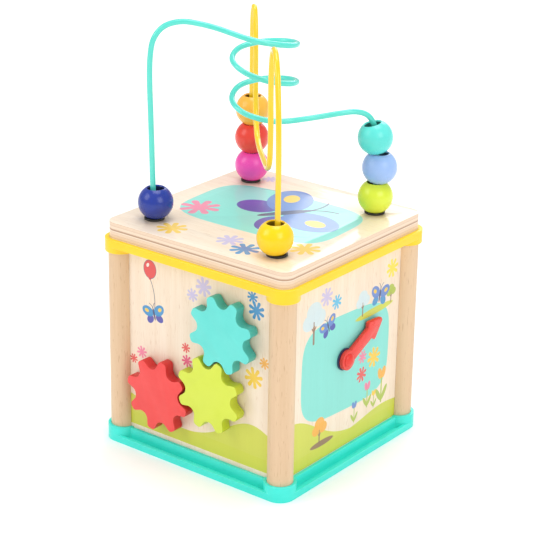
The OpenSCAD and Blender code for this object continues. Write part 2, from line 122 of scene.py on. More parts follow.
class Graph:
    """Adds and joins nodes in one shader node tree."""

    def __init__(self, tree: NodeTree) -> None:
        """Works on the given tree."""
        self.tree = tree

    def add(self, kind: str, inputs: dict[str | int, Value] | None = None,
            **settings: object) -> Node:
        """Adds a node.

        Args:
            kind: the node's type name after ShaderNode, such as Math.
            inputs: what to feed its input sockets, by name or number.
            settings: the node's own settings.

        Returns:
            The new node.
        """
        node = self.tree.nodes.new(f"ShaderNode{kind}")
        for key, value in settings.items():
            setattr(node, key, value)
        for key, value in (inputs or {}).items():
            self.feed(node.inputs[key], value)
        return node

    def feed(self, socket: Socket, value: Value) -> None:
        """Links a socket to another socket, or sets its plain value.

        Args:
            socket: the input to feed.
            value: an output socket or a value.
        """
        if isinstance(value, Socket):
            self.tree.links.new(value, socket)
        else:
            socket.default_value = value

    def math(self, operation: str, *values: Value, clamp: bool = False) -> Socket:
        """Adds a math node.

        Args:
            operation: such as ADD or MULTIPLY.
            values: its one or two inputs.
            clamp: keeps the result between 0 and 1.

        Returns:
            The result socket.
        """
        return self.add("Math", dict(enumerate(values)), operation=operation,
                        use_clamp=clamp).outputs[0]

    def plus(self, first: Value, second: Value) -> Socket:
        """One value added to another."""
        return self.math("ADD", first, second)

    def minus(self, first: Value, second: Value, clamp: bool = False) -> Socket:
        """The second value taken from the first."""
        return self.math("SUBTRACT", first, second, clamp=clamp)

    def times(self, first: Value, second: Value, clamp: bool = False) -> Socket:
        """One value multiplied by another."""
        return self.math("MULTIPLY", first, second, clamp=clamp)

    def over(self, first: Value, second: Value) -> Socket:
        """The first value divided by the second."""
        return self.math("DIVIDE", first, second)

    def square(self, value: Value) -> Socket:
        """A value multiplied by itself."""
        return self.math("POWER", value, 2.0)

    def reach(self, across: Value, up: Value) -> Socket:
        """Distance from the middle."""
        return self.math("SQRT", self.plus(self.square(across), self.square(up)))

    def along(self, spot: Socket, way: tuple | Socket) -> Socket:
        """How far a vector runs in a direction."""
        return self.add("VectorMath", {0: spot, 1: way},
                        operation="DOT_PRODUCT").outputs["Value"]

    def noise(self, spot: Socket, scale: Value, detail: float = 2.0) -> Socket:
        """Plain noise from 0 to 1."""
        return self.add("TexNoise", {"Vector": spot, "Scale": scale,
                                               "Detail": detail}).outputs[0]

    def mix(self, factor: Value, first: Value, second: Value,
            blend: str = "MIX") -> Socket:
        """A colour between two others, or one laid over the other with a blend mode."""
        return self.add("Mix", {0: factor, 6: first, 7: second},
                        data_type="RGBA", blend_type=blend).outputs[2]

    def effect(self, group: NodeTree, inputs: dict[str, Value]) -> Sockets:
        """Places one of the shared effects and gives its outputs."""
        return self.add("Group", inputs, node_tree=group).outputs


Outside = Callable[[Graph, Sockets, Socket, Socket], Socket]


class Kind(Enum):
    """Types of a group's sockets."""

    VALUE = "NodeSocketFloat"
    COLOUR = "NodeSocketColor"
    VECTOR = "NodeSocketVector"


class Effects:
    """The effects that several materials use, each one node group, built once."""

    petals: int = 8
    petal_length: float = 0.83
    glue_share: float = 0.14
    glue_tone: Colour = ink(176, 124, 84)
    core_tone: Colour = ink(150, 98, 64)

    def __init__(self) -> None:
        """Builds every group."""
        self.grain = self._grain()
        self.plies = self._plies()
        self.mottle = self._mottle()
        self.wear = self._wear()
        self.flower = self._print("print_flower", ["Size"], self._flower)
        self.oval = self._print("print_oval", ["Wide", "High"], self._oval)
        self.stroke = self._print("print_stroke", ["Half", "Thick", "Bow"],
                                  self._stroke)
        self.hill = self._print("print_hill", ["Rise", "Spread"], self._hill)
        self.patch = self._print("print_patch", ["Wide", "High", "Lean"], self._patch,
                                 crisp=4.0)

    @staticmethod
    def _open(name: str, takes: dict[str, Kind], gives: dict[str, Kind]
              ) -> tuple[Graph, Sockets, Sockets]:
        """Starts a group.

        Args:
            name: the group's name.
            takes: its inputs.
            gives: its outputs.

        Returns:
            A graph, the sockets to read from and the sockets to feed.
        """
        tree = bpy.data.node_groups.new(name, "ShaderNodeTree")
        for way, labels in (("INPUT", takes), ("OUTPUT", gives)):
            for label, kind in labels.items():
                tree.interface.new_socket(name=label, in_out=way,
                                          socket_type=kind.value)
        graph = Graph(tree)
        start, end = (tree.nodes.new(f"NodeGroup{way}") for way in ("Input", "Output"))
        return (graph, {label: start.outputs[label] for label in takes},
                {label: end.inputs[label] for label in gives})

    def _grain(self) -> NodeTree:
        """Wood grain along Z: streaks, fine pores and short dark flecks."""
        graph, take, give = self._open(
            "wood_grain", {"Vector": Kind.VECTOR, "Pale": Kind.COLOUR,
                           "Dark": Kind.COLOUR, "Fleck": Kind.COLOUR,
                           "Flecks": Kind.VALUE},
            {"Color": Kind.COLOUR, "Height": Kind.VALUE})

        def streaks(scale: Point, detail: float, least: float, gain: float) -> Socket:
            """Noise stretched along the grain, and only its higher parts.

            Args:
                scale: how fine it is across the grain and along it.
                detail: how many finer layers it has.
                least: the noise that counts as nothing.
                gain: how fast it rises to 1 from there.

            Returns:
                The streaks, from 0 to 1.
            """
            spot = graph.add("Mapping", {"Vector": take["Vector"], "Scale": (
                scale[0], scale[0], scale[1])})
            noise = graph.add("TexNoise", {
                "Vector": spot.outputs[0], "Scale": 1.0, "Detail": detail,
                "Roughness": 0.6, "Distortion": 0.3})
            return graph.times(graph.minus(noise.outputs[0], least), gain, clamp=True)

        broad = streaks((90, 5), 3, least=0.30, gain=2.2)
        fine = streaks((900, 24), 2, least=0.35, gain=1.6)
        flecks = streaks((1500, 130), 1, least=0.64, gain=9.0)
        flecks = graph.times(flecks, take["Flecks"])
        tone = graph.plus(graph.times(broad, 0.6), graph.times(fine, 0.4))
        base = graph.mix(tone, take["Pale"], take["Dark"])
        graph.feed(give["Color"], graph.mix(flecks, base, take["Fleck"]))
        graph.feed(give["Height"], graph.minus(fine, flecks))
        return graph.tree

    def _plies(self) -> NodeTree:
        """Plywood edge: sheets of changing tone, thin glue lines and one dark line."""
        graph, take, give = self._open(
            "plywood_edge", {"Depth": Kind.VALUE, "Sheet": Kind.VALUE,
                             "Vector": Kind.VECTOR, "Pale": Kind.COLOUR,
                             "Dark": Kind.COLOUR, "Line": Kind.VALUE},
            {"Color": Kind.COLOUR})
        waver = graph.times(graph.noise(take["Vector"], scale=60.0), 0.35)
        depth = graph.plus(take["Depth"], waver)
        turn = graph.over(depth, take["Sheet"])
        tone = graph.add("TexWhiteNoise", {"W": graph.math("FLOOR", turn)},
                         noise_dimensions="1D").outputs[0]
        end_grain = graph.noise(take["Vector"], scale=1400.0)
        amount = graph.plus(graph.times(tone, 0.6), graph.times(end_grain, 0.2))
        colour = graph.mix(amount, take["Pale"], take["Dark"])
        glue = graph.math("LESS_THAN", graph.math("FRACT", turn), self.glue_share)
        burnt = graph.mix(0.35, take["Dark"], self.glue_tone)
        colour = graph.mix(graph.times(glue, 0.6), colour, burnt)
        gap = graph.math("ABSOLUTE", graph.minus(depth, take["Line"]))
        core = graph.minus(1.3, graph.times(gap, 1.6), clamp=True)
        dark = graph.mix(0.65, take["Dark"], self.core_tone)
        graph.feed(give["Color"], graph.mix(core, colour, dark))
        return graph.tree

    def _mottle(self) -> NodeTree:
        """Slow and fine unevenness of a coloured surface, its gloss and its height."""
        graph, take, give = self._open(
            "surface_mottle", {"Vector": Kind.VECTOR, "Color": Kind.COLOUR,
                               "Deep": Kind.COLOUR, "Gloss": Kind.VALUE,
                               "Fine Scale": Kind.VALUE},
            {"Color": Kind.COLOUR, "Roughness": Kind.VALUE, "Height": Kind.VALUE})
        slow = graph.noise(take["Vector"], scale=70.0, detail=3.0)
        fine = graph.noise(take["Vector"], take["Fine Scale"])
        share = graph.times(graph.minus(slow, 0.38), 1.3, clamp=True)
        graph.feed(give["Color"], graph.mix(share, take["Color"], take["Deep"]))
        swing = graph.times(graph.minus(slow, 0.5), 0.22)
        grit = graph.times(graph.minus(fine, 0.5), 0.12)
        level = graph.plus(graph.plus(swing, grit), take["Gloss"])
        graph.feed(give["Roughness"], graph.math("MAXIMUM", level, 0.05))
        graph.feed(give["Height"], fine)
        return graph.tree

    def _wear(self) -> NodeTree:
        """Mask of outer edges, where a finish is thin or rubbed."""
        graph, take, give = self._open(
            "edge_wear", {"Radius": Kind.VALUE, "Vector": Kind.VECTOR},
            {"Mask": Kind.VALUE})
        bent = graph.add("Bevel", {"Radius": take["Radius"]}, samples=4)
        normal = graph.add("NewGeometry").outputs["Normal"]
        edge = graph.minus(1.0, graph.along(bent.outputs[0], normal))
        rub = graph.times(graph.noise(take["Vector"], scale=260.0, detail=3.0), 9.0)
        graph.feed(give["Mask"], graph.math("MINIMUM", graph.times(edge, rub), 1.0))
        return graph.tree

    def _print(self, name: str, sizes: list[str], outside: Outside, crisp: float = 5.0
               ) -> NodeTree:
        """Mask of a printed shape, laid out round the shape's own middle.

        Args:
            name: the group's name.
            sizes: the names of the shape's sizes, which are in millimetres.
            outside: gives how far a spot is outside the shape.
            crisp: how fast the mask falls off at the rim, per millimetre.

        Returns:
            The group.
        """
        takes = dict.fromkeys(["Across", "Up", "At Across", "At Up", "Turn", *sizes],
                              Kind.VALUE)
        graph, take, give = self._open(name, takes, {"Mask": Kind.VALUE})
        across = graph.minus(take["Across"], take["At Across"])
        up = graph.minus(take["Up"], take["At Up"])
        cosine, sine = (graph.math(kind, take["Turn"]) for kind in ("COSINE", "SINE"))
        turned = graph.plus(graph.times(across, cosine), graph.times(up, sine))
        risen = graph.minus(graph.times(up, cosine), graph.times(across, sine))
        far = graph.times(outside(graph, take, turned, risen), crisp)
        graph.feed(give["Mask"], graph.minus(0.5, far, clamp=True))
        return graph.tree

    def _flower(self, graph: Graph, take: Sockets, across: Socket, up: Socket) -> Socket:
        """How far a spot is outside a flower with loose round-ended petals."""
        reach = graph.reach(across, up)
        angle = graph.math("PINGPONG", graph.math("ARCTAN2", up, across),
                           math.pi / self.petals)
        along = graph.times(reach, graph.math("COSINE", angle))
        side = graph.times(reach, graph.math("SINE", angle))
        past = graph.minus(along, graph.times(take["Size"], self.petal_length))
        past = graph.math("MAXIMUM", past, 0.0)
        wide = graph.plus(graph.times(take["Size"], 0.12), graph.times(along, 0.08))
        return graph.minus(graph.reach(past, side), wide)

    def _oval(self, graph: Graph, take: Sockets, across: Socket, up: Socket) -> Socket:
        """How far a spot is outside an oval."""
        reach = graph.reach(graph.over(across, take["Wide"]),
                            graph.over(up, take["High"]))
        return graph.times(graph.minus(reach, 1.0), take["High"])

    def _stroke(self, graph: Graph, take: Sockets, across: Socket, up: Socket) -> Socket:
        """How far a spot is outside a line with round ends and a slight bow."""
        share = graph.square(graph.over(across, take["Half"]))
        arch = graph.times(graph.minus(1.0, share), take["Bow"])
        past = graph.minus(graph.math("ABSOLUTE", across), take["Half"])
        past = graph.math("MAXIMUM", past, 0.0)
        return graph.minus(graph.reach(past, graph.minus(up, arch)), take["Thick"])

    def _hill(self, graph: Graph, take: Sockets, across: Socket, up: Socket) -> Socket:
        """How far a spot is above ground with a smooth crest."""
        share = graph.square(graph.over(across, take["Spread"]))
        fall = graph.math("EXPONENT", graph.times(share, -1.0))
        return graph.minus(up, graph.times(take["Rise"], fall))

    def _patch(self, graph: Graph, take: Sockets, across: Socket, up: Socket) -> Socket:
        """How far a spot is outside a big patch with soft corners."""
        leaned = graph.plus(across, graph.times(up, take["Lean"]))
        shares = (graph.over(leaned, take["Wide"]), graph.over(up, take["High"]))
        powers = (graph.math("POWER", graph.math("ABSOLUTE", share), 4.0)
                  for share in shares)
        reach = graph.math("POWER", graph.plus(*powers), 1 / 4)
        return graph.times(graph.minus(reach, 1.0), take["High"])


EFFECTS = Effects()


# ---------------------------------------------------------------- printed art


@dataclass(frozen=True)
class Motif:
    """A shape printed in one colour.

    Its places and sizes are in millimetres and its turn is in radians.
    """

    effect: NodeTree
    at: Point
    turn: float
    colour: Colour
    sizes: dict[str, float]

    def mask(self, graph: Graph, across: Socket, up: Socket) -> Socket:
        """Where it is printed.

        Args:
            graph: the material's graph.
            across: the way across the face.
            up: the way up the face.

        Returns:
            1 where it is printed and 0 elsewhere.
        """
        return graph.effect(self.effect, {
            "Across": across, "Up": up, "At Across": self.at[0], "At Up": self.at[1],
            "Turn": self.turn, **self.sizes})[0]


def flower(at: Point, size: float, colour: Colour, turn: float = 0.2) -> Motif:
    """A flower with eight petals."""
    return Motif(EFFECTS.flower, at, turn, colour, {"Size": size})


def oval(at: Point, half: Point, colour: Colour, turn: float = 0.0) -> Motif:
    """An oval, by its half sizes."""
    return Motif(EFFECTS.oval, at, turn, colour, {"Wide": half[0], "High": half[1]})


def stroke(start: Point, end: Point, thick: float, colour: Colour, bow: float = 0.0
           ) -> Motif:
    """A line with round ends.

    Args:
        start: one end.
        end: the other end.
        thick: its thickness.
        colour: its colour.
        bow: how far its middle is bent to the left.

    Returns:
        The motif.
    """
    run, rise = end[0] - start[0], end[1] - start[1]
    middle = (start[0] + run / 2, start[1] + rise / 2)
    return Motif(EFFECTS.stroke, middle, math.atan2(rise, run), colour, {
        "Half": math.hypot(run, rise) / 2, "Thick": thick / 2, "Bow": bow})


def hill(crest: Point, rise: float, spread: float) -> Motif:
    """Grass under a smooth crest, as high as the rise above its level foot."""
    return Motif(EFFECTS.hill, (crest[0], crest[1] - rise), 0.0, GRASS,
                 {"Rise": rise, "Spread": spread})


def patch(at: Point, half: Point, turn: float, lean: float) -> Motif:
    """A blue-green patch with soft corners, by its half sizes."""
    return Motif(EFFECTS.patch, at, turn, AQUA, {"Wide": half[0], "High": half[1],
                                                 "Lean": lean})


LILAC = ink(205, 198, 238)
BLUE = ink(54, 150, 212)
SKY = ink(90, 196, 240)
YELLOW = ink(250, 210, 62)
PINK = ink(244, 134, 170)
MAGENTA = ink(234, 84, 136)
RED = ink(234, 84, 82)
LEMON = ink(250, 232, 70)
ORANGE = ink(248, 182, 70)
GRASS = ink(212, 220, 70)
DEEP_GRASS = ink(178, 200, 74)
AQUA = ink(130, 230, 222)
WHITE = ink(250, 250, 248)
CORNFLOWER = ink(98, 138, 212)
INDIGO = ink(72, 74, 178)
OUTLINE = ink(66, 76, 120)
TWIG = ink(150, 116, 92)
CLOUD = ink(214, 236, 244)


def butterfly(at: Point, size: float, wing: Colour, tip: Colour, turn: float = 0.0
              ) -> list[Motif]:
    """A plain butterfly seen from above.

    Args:
        at: its middle.
        size: length of an upper wing.
        wing: colour of the upper wings.
        tip: colour of the lower wings.
        turn: how far it is turned, in radians.

    Returns:
        Its shapes, in the order they are printed.
    """
    def place(across: float, up: float) -> Point:
        """A point on the butterfly, in panel millimetres."""
        return (at[0] + size * (across * math.cos(turn) - up * math.sin(turn)),
                at[1] + size * (across * math.sin(turn) + up * math.cos(turn)))

    parts: list[Motif] = []
    for side in (-1, 1):
        parts += [
            oval(place(side * 0.46, -0.36), (size * 0.38, size * 0.3), tip,
                 turn - side * 0.7),
            oval(place(side * 0.56, 0.26), (size * 0.56, size * 0.4), wing,
                 turn + side * 0.5),
            oval(place(side * 0.66, 0.32), (size * 0.2, size * 0.14), YELLOW,
                 turn + side * 0.5),
            stroke(place(0, 0.3), place(side * 0.26, 0.86), size * 0.045, OUTLINE,
                   side * size * 0.08)]
    parts.append(oval(place(0, 0), (size * 0.09, size * 0.5), OUTLINE, turn))
    return parts


def cloud(at: Point, size: float, colour: Colour) -> list[Motif]:
    """A cloud of four ovals.

    Args:
        at: its middle.
        size: half its width.
        colour: its colour.

    Returns:
        Its shapes, in the order they are printed.
    """
    puffs = ((-0.55, 0.0, 0.5, 0.32), (0.0, 0.22, 0.5, 0.44), (0.55, 0.02, 0.46, 0.32),
             (0.0, -0.1, 0.9, 0.26))
    return [oval((at[0] + across * size, at[1] + up * size), (wide * size, high * size),
                 colour) for across, up, wide, high in puffs]


def tulip(foot: Point, height: float, colour: Colour) -> list[Motif]:
    """A tulip on its stem.

    Args:
        foot: where it grows.
        height: its height.
        colour: the petals' colour.

    Returns:
        Its shapes, in the order they are printed.
    """
    top = foot[1] + height
    leaf = height * 0.28
    parts: list[Motif] = [stroke(foot, (foot[0], top), height * 0.07, DEEP_GRASS)]
    for side in (-1, 1):
        parts.append(oval((foot[0] + side * leaf * 0.55, foot[1] + leaf),
                          (leaf, leaf * 0.3), DEEP_GRASS, side * 1.0))
        parts.append(oval((foot[0] + side * height * 0.1, top),
                          (height * 0.2, height * 0.11), colour,
                          math.pi / 2 - side * 0.25))
    return parts


def bush(foot: Point, size: float, colour: Colour) -> list[Motif]:
    """A small round tree with a forked trunk.

    Args:
        foot: where it grows.
        size: the trunk's height.
        colour: the leaves' colour.

    Returns:
        Its shapes, in the order they are printed.
    """
    parts: list[Motif] = [stroke(foot, (foot[0], foot[1] + size), size * 0.14, TWIG)]
    for across, up, share in ((-0.4, 1.2, 0.5), (0.42, 1.25, 0.52), (0.0, 1.65, 0.6)):
        parts.append(stroke((foot[0], foot[1] + size * 0.6),
                            (foot[0] + across * size, foot[1] + up * size), size * 0.08,
                            TWIG))
        parts.append(oval((foot[0] + across * size, foot[1] + up * size),
                          (size * share, size * share * 0.85), colour))
    return parts


def balloon(at: Point, size: float) -> list[Motif]:
    """A red balloon on a loose string.

    Args:
        at: its middle.
        size: half its width.

    Returns:
        Its shapes, in the order they are printed.
    """
    low = at[1] - size * 1.25
    return [stroke((at[0], low), (at[0] + size * 0.7, low - size * 4.2), 0.5, OUTLINE,
                   size * 0.35),
            oval((at[0], low), (size * 0.22, size * 0.2), RED),
            oval(at, (size + 0.35, size * 1.2 + 0.35), OUTLINE),
            oval(at, (size, size * 1.2), RED),
            oval((at[0] - size * 0.35, at[1] + size * 0.5), (size * 0.2, size * 0.3),
                 WHITE, -0.5)]


ART: dict[Side, list[Motif]] = {
    Side.GEARS: [
        hill((-66, 37), 14, 28), hill((46, 45), 22, 30),
        hill((0, 24), 3, 80),
        *balloon((-41.9, 132.6), 5.3), *butterfly((-38.5, 101), 9, BLUE, INDIGO, 0.25),
        flower((4.8, 132), 6.6, LILAC), flower((-4.8, 123.8), 4.6, LILAC),
        flower((45.6, 135.7), 4.2, BLUE), flower((49, 127), 6.4, BLUE, 0.4),
        flower((-10.5, 84.2), 3.6, RED), flower((-9.6, 74.9), 4.4, MAGENTA, 0.1),
        flower((-49.9, 70), 4.4, PINK), flower((-57.3, 63.3), 3.4, RED, 0.5),
        flower((47.3, 79.3), 7.4, YELLOW), flower((56, 92), 4.0, ORANGE)],
    Side.DIAL: [
        patch((-0.5, 73.5), (50, 35.5), -0.05, 0.03),
        hill((-60, 48), 28, 38), hill((45, 26), 6, 30),
        hill((0, 20.5), 2, 100),
        oval((31, 100.4), (22, 2.6), GRASS, 0.02),
        *bush((17, 101), 8.5, CLOUD), *bush((50.5, 101), 6, DEEP_GRASS),
        *butterfly((37, 110), 10, CORNFLOWER, BLUE, -0.2),
        *bush((-38, 99), 13.5, CLOUD),
        *butterfly((-22, 106), 8.5, CORNFLOWER, INDIGO, 0.35),
        flower((-24.5, 127.9), 6.4, LILAC), flower((-13.1, 120.7), 5.2, SKY, 0.3),
        flower((51, 125.6), 6.8, LEMON), flower((32.4, 65.5), 7.4, YELLOW, 0.1),
        flower((18.8, 70.2), 4.6, PINK), flower((18.3, 57.2), 5.6, RED, 0.35),
        *bush((-29, 23), 9, ORANGE), oval((-26, 22.5), (13, 2.2), TWIG),
        *tulip((11, 24), 13, CORNFLOWER), *tulip((26, 30), 16, PINK),
        *tulip((43, 28), 22, ORANGE), *tulip((34, 27), 11, YELLOW)],
    Side.SPIN: [
        hill((-50, 44), 26, 40), hill((58, 36), 20, 44),
        hill((0, 24), 10, 80), *cloud((-44, 131), 11, CLOUD),
        *cloud((42, 128), 9, CLOUD), flower((54, 110), 6, YELLOW),
        flower((-55, 108), 5, PINK), flower((57, 52), 5.5, BLUE, 0.4),
        flower((-57, 60), 5.5, MAGENTA, 0.1), flower((0, 134), 5, LILAC),
        *tulip((-52, 26), 14, RED), *tulip((52, 24), 13, ORANGE)],
    Side.SLIDE: [
        patch((0, 78), (54, 52), -0.04, -0.04),
        hill((-54, 33), 18, 40), hill((56, 28), 14, 40),
        hill((0, 20), 8, 80),
        *(oval((step * 8.4, level + swing * math.sin(step)), (1.3, 1.3), WHITE)
          for level, swing in ((104, 11), (50, -10)) for step in range(-5, 6)),
        *cloud((-34, 131), 10, CLOUD), *butterfly((38, 127), 9, BLUE, INDIGO, -0.3),
        flower((4, 78), 7, YELLOW), flower((-30, 74), 5.5, PINK, 0.4),
        flower((36, 76), 5.5, RED, 0.1), flower((-52, 92), 4.6, LILAC),
        *tulip((-44, 22), 12, MAGENTA), *tulip((46, 22), 12, CORNFLOWER)],
    Side.LID: [
        patch((-0.5, 6.5), (61, 40), 0.03, 0.02),
        flower((-44.8, -15.5), 14.0, PINK), flower((-32, -59.5), 10.4, YELLOW, 0.4),
        flower((11.6, -52.3), 9.2, LILAC), flower((29.5, -58.9), 10.0, BLUE, 0.1),
        flower((59, -33.9), 10.4, YELLOW, 0.3), flower((-45, 63), 5.6, LILAC),
        stroke((-36, 42), (-20, 44), 0.6, OUTLINE, 2.0),
        stroke((28, -22), (48, -14), 0.6, OUTLINE, -2.4),
        *butterfly((7, 13), 40, CORNFLOWER, INDIGO, -0.62)],
}


# ---------------------------------------------------------------- finishes


@dataclass(frozen=True)
class Surface:
    """A material being built: its graph, its shader and its object coordinates."""

    material: Material
    graph: Graph
    shader: Node
    spot: Socket

    @classmethod
    def start(cls, name: str) -> "Surface":
        """Makes an empty material with one shader.

        Args:
            name: the material's name.

        Returns:
            The surface to work on.
        """
        material = bpy.data.materials.new(name)
        material.use_nodes = True
        graph = Graph(material.node_tree)
        return cls(material, graph, material.node_tree.nodes["Principled BSDF"],
                   graph.add("TexCoord").outputs["Object"])

    def mottle(self, colour: Colour, deep: Colour, gloss: float, fine: float
               ) -> NodeOutputs:
        """Places the slight unevenness of a coloured surface.

        Args:
            colour: the surface's colour.
            deep: the colour of its deeper spots.
            gloss: the roughness it swings round.
            fine: how fine its grit is.

        Returns:
            Its colour, roughness and height.
        """
        return self.graph.effect(EFFECTS.mottle, {
            "Vector": self.spot, "Color": colour, "Deep": deep, "Gloss": gloss,
            "Fine Scale": fine})

    def grain(self, way: Grain, pale: Colour, dark: Colour, fleck: Colour,
              flecks: float) -> NodeOutputs:
        """Places the wood grain.

        Args:
            way: the axis it runs along.
            pale: colour of the early wood.
            dark: colour of the late wood.
            fleck: colour of the short flecks.
            flecks: how strong they are.

        Returns:
            Its colour and height.
        """
        turned = self.graph.add("Mapping", {"Vector": self.spot,
                                                      "Rotation": way.value})
        return self.graph.effect(EFFECTS.grain, {
            "Vector": turned.outputs[0], "Pale": pale, "Dark": dark, "Fleck": fleck,
            "Flecks": flecks})

    def rub(self, body: Socket, colour: Colour, radius: float, lift: float, most: float
            ) -> Socket:
        """Lightens a colour at outer edges.

        Args:
            body: the colour socket.
            colour: the paint or plastic that is rubbed.
            radius: how far the rubbing reaches, in millimetres.
            lift: how much paler it gets.
            most: the strongest rubbing.

        Returns:
            The rubbed colour.
        """
        wear = self.graph.effect(EFFECTS.wear, {"Radius": radius * MM,
                                                "Vector": self.spot})
        pale = tuple(part + (1 - part) * lift for part in colour)
        return self.graph.mix(self.graph.times(wear[0], most), body, pale)

    def satin(self, height: Socket, level: float, swing: float) -> Socket:
        """A roughness that rises with the grain's height."""
        return self.graph.plus(level, self.graph.times(height, swing))

    def finish(self, colour: Socket, rough: Socket, height: Socket, relief: Point,
               **more: Value) -> None:
        """Feeds the shader.

        Args:
            colour: the base colour.
            rough: the roughness.
            height: what the bump follows.
            relief: the bump's depth in millimetres, and its strength.
            more: the shader's other inputs, by name with _ for each space.
        """
        bump = self.graph.add("Bump", {
            "Height": height, "Distance": relief[0] * MM, "Strength": relief[1]})
        inputs = {"Base Color": colour, "Roughness": rough, "Normal": bump.outputs[0],
                  **{label.replace("_", " "): value for label, value in more.items()}}
        for label, value in inputs.items():
            self.graph.feed(self.shader.inputs[label], value)


class Finish:
    """A kind of surface, which can be made into materials."""

    def build(self, name: str) -> Material:
        """Makes a material.

        Args:
            name: the material's name.

        Returns:
            The finished material.
        """
        surface = Surface.start(name)
        self.lay(surface)
        return surface.material

    def lay(self, surface: Surface) -> None:
        """Lays the finish on an empty surface."""
        raise NotImplementedError


@dataclass(frozen=True)
class Paint(Finish):
    """Satin paint over turned or sawn wood, a little thin at the edges.

    Where a shade colour is given, it is painted shade: a darker copy of the colour laid
    on the sawn sides round Y, standing in for the shade those sides fall in.
    """

    colour: Colour
    deep: Colour
    gloss: float
    coat: float
    way: Grain = Grain.ALONG_Z
    side_shade: Colour | None = None

    def lay(self, surface: Surface) -> None:
        """Lays the paint on an empty surface."""
        graph = surface.graph
        mottle = surface.mottle(self.colour, self.deep, self.gloss, fine=1500.0)
        wood = surface.grain(self.way, self.colour, self.deep, self.deep, flecks=0.4)
        body = graph.mix(0.12, mottle["Color"], wood["Color"])
        if self.side_shade:
            # painted shade: faces that run round Y, the gear's sides, take the darker
            # shade colour in place of the lit paint
            normal = graph.add("NewGeometry").outputs["Normal"]
            facing = graph.math("ABSOLUTE", graph.along(normal, (0.0, 1.0, 0.0)))
            body = graph.mix(graph.math("LESS_THAN", facing, 0.5), body, self.side_shade)
        height = graph.plus(wood["Height"], mottle["Height"])
        colour = surface.rub(body, self.colour, radius=0.7, lift=0.35, most=0.3)
        surface.finish(colour, mottle["Roughness"], height, relief=(0.04, 0.12),
                       Coat_Weight=self.coat, Coat_Roughness=0.22,
                       Specular_IOR_Level=0.3)


@dataclass(frozen=True)
class Moulded(Finish):
    """Injection-moulded plastic with a fine texture and slightly rubbed edges."""

    colour: Colour
    deep: Colour
    gloss: float = 0.38
    glow: float = 0.0

    def lay(self, surface: Surface) -> None:
        """Lays the plastic on an empty surface."""
        mottle = surface.mottle(self.colour, self.deep, self.gloss, fine=2600.0)
        colour = surface.rub(mottle["Color"], self.colour, radius=0.5, lift=0.4,
                             most=0.35)
        surface.finish(colour, mottle["Roughness"], mottle["Height"],
                       relief=(0.03, 0.3), Subsurface_Weight=self.glow,
                       Subsurface_Radius=(1.5 * MM,) * 3)


@dataclass(frozen=True)
class Dipped(Finish):
    """Thick glossy coating on bent wire."""

    colour: Colour
    deep: Colour

    def lay(self, surface: Surface) -> None:
        """Lays the coating on an empty surface."""
        mottle = surface.mottle(self.colour, self.deep, gloss=0.18, fine=420.0)
        surface.finish(mottle["Color"], mottle["Roughness"], mottle["Height"],
                       relief=(0.06, 0.15), Coat_Weight=0.5, Coat_Roughness=0.06)


@dataclass(frozen=True)
class Steel(Finish):
    """Zinc-plated screws and ferrules."""

    tint: Colour
    deep: Colour = ink(150, 150, 156)

    def lay(self, surface: Surface) -> None:
        """Lays the metal on an empty surface."""
        mottle = surface.mottle(self.tint, self.deep, gloss=0.32, fine=3200.0)
        surface.finish(mottle["Color"], mottle["Roughness"], mottle["Height"],
                       relief=(0.02, 0.3), Metallic=1.0)


@dataclass(frozen=True)
class Timber(Finish):
    """Bare sanded wood."""

    pale: Colour
    dark: Colour
    fleck: Colour
    flecks: float
    way: Grain

    def lay(self, surface: Surface) -> None:
        """Lays the wood on an empty surface."""
        wood = surface.grain(self.way, self.pale, self.dark, self.fleck, self.flecks)
        rough = surface.satin(wood["Height"], level=0.42, swing=0.14)
        surface.finish(wood["Color"], rough, wood["Height"], relief=(0.06, 0.35))


@dataclass(frozen=True)
class PrintedPly(Finish):
    """Varnished birch plywood, printed on its outer face, with bare layered edges.

    The sheet is one layer's thickness, and the line is how far from the back the one
    dark layer lies. The print ends at the lowest height. All are in millimetres.
    """

    node: str
    side: Side
    way: Grain
    sheet: float
    line: float
    varnish: float
    lowest: float
    pale: Colour = ink(252, 236, 216)
    dark: Colour = ink(236, 210, 180)
    fleck: Colour = ink(214, 178, 140)
    layer: Colour = ink(230, 196, 164)

    def lay(self, surface: Surface) -> None:
        """Lays the wood, its edges and its prints on an empty surface."""
        graph = surface.graph
        outward, sideways, upward = self.side.value
        across, up, out = (graph.along(surface.spot, tuple(way / MM))
                           for way in (sideways, upward, outward))
        depths = [outward.dot(corner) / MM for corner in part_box(self.node)]
        wood = surface.grain(self.way, self.pale, self.dark, self.fleck, flecks=0.5)
        normal = graph.add("NewGeometry").outputs["True Normal"]
        facing = graph.math("ABSOLUTE", graph.along(normal, tuple(outward)))
        on_edge = graph.math("LESS_THAN", facing, 0.5)
        plies = graph.effect(EFFECTS.plies, {
            "Depth": graph.minus(out, min(depths)), "Sheet": self.sheet,
            "Vector": surface.spot, "Pale": self.pale, "Dark": self.layer,
            "Line": self.line})
        front = graph.times(graph.math("GREATER_THAN", out, max(depths) - 0.3),
                            graph.math("GREATER_THAN", up, self.lowest))
        colour = wood["Color"]
        for motif in ART[self.side]:
            mask = graph.times(motif.mask(graph, across, up), front)
            soaked = graph.mix(1.0, motif.colour, wood["Color"], "MULTIPLY")
            colour = graph.mix(graph.times(mask, 0.96), colour,
                               graph.mix(0.25, motif.colour, soaked))
        varnished = graph.times(graph.minus(1.0, on_edge), self.varnish)
        surface.finish(graph.mix(on_edge, colour, plies["Color"]),
                       surface.satin(wood["Height"], level=0.4, swing=0.1),
                       wood["Height"], relief=(0.04, 0.25), Coat_Weight=varnished,
                       Coat_Roughness=0.09)


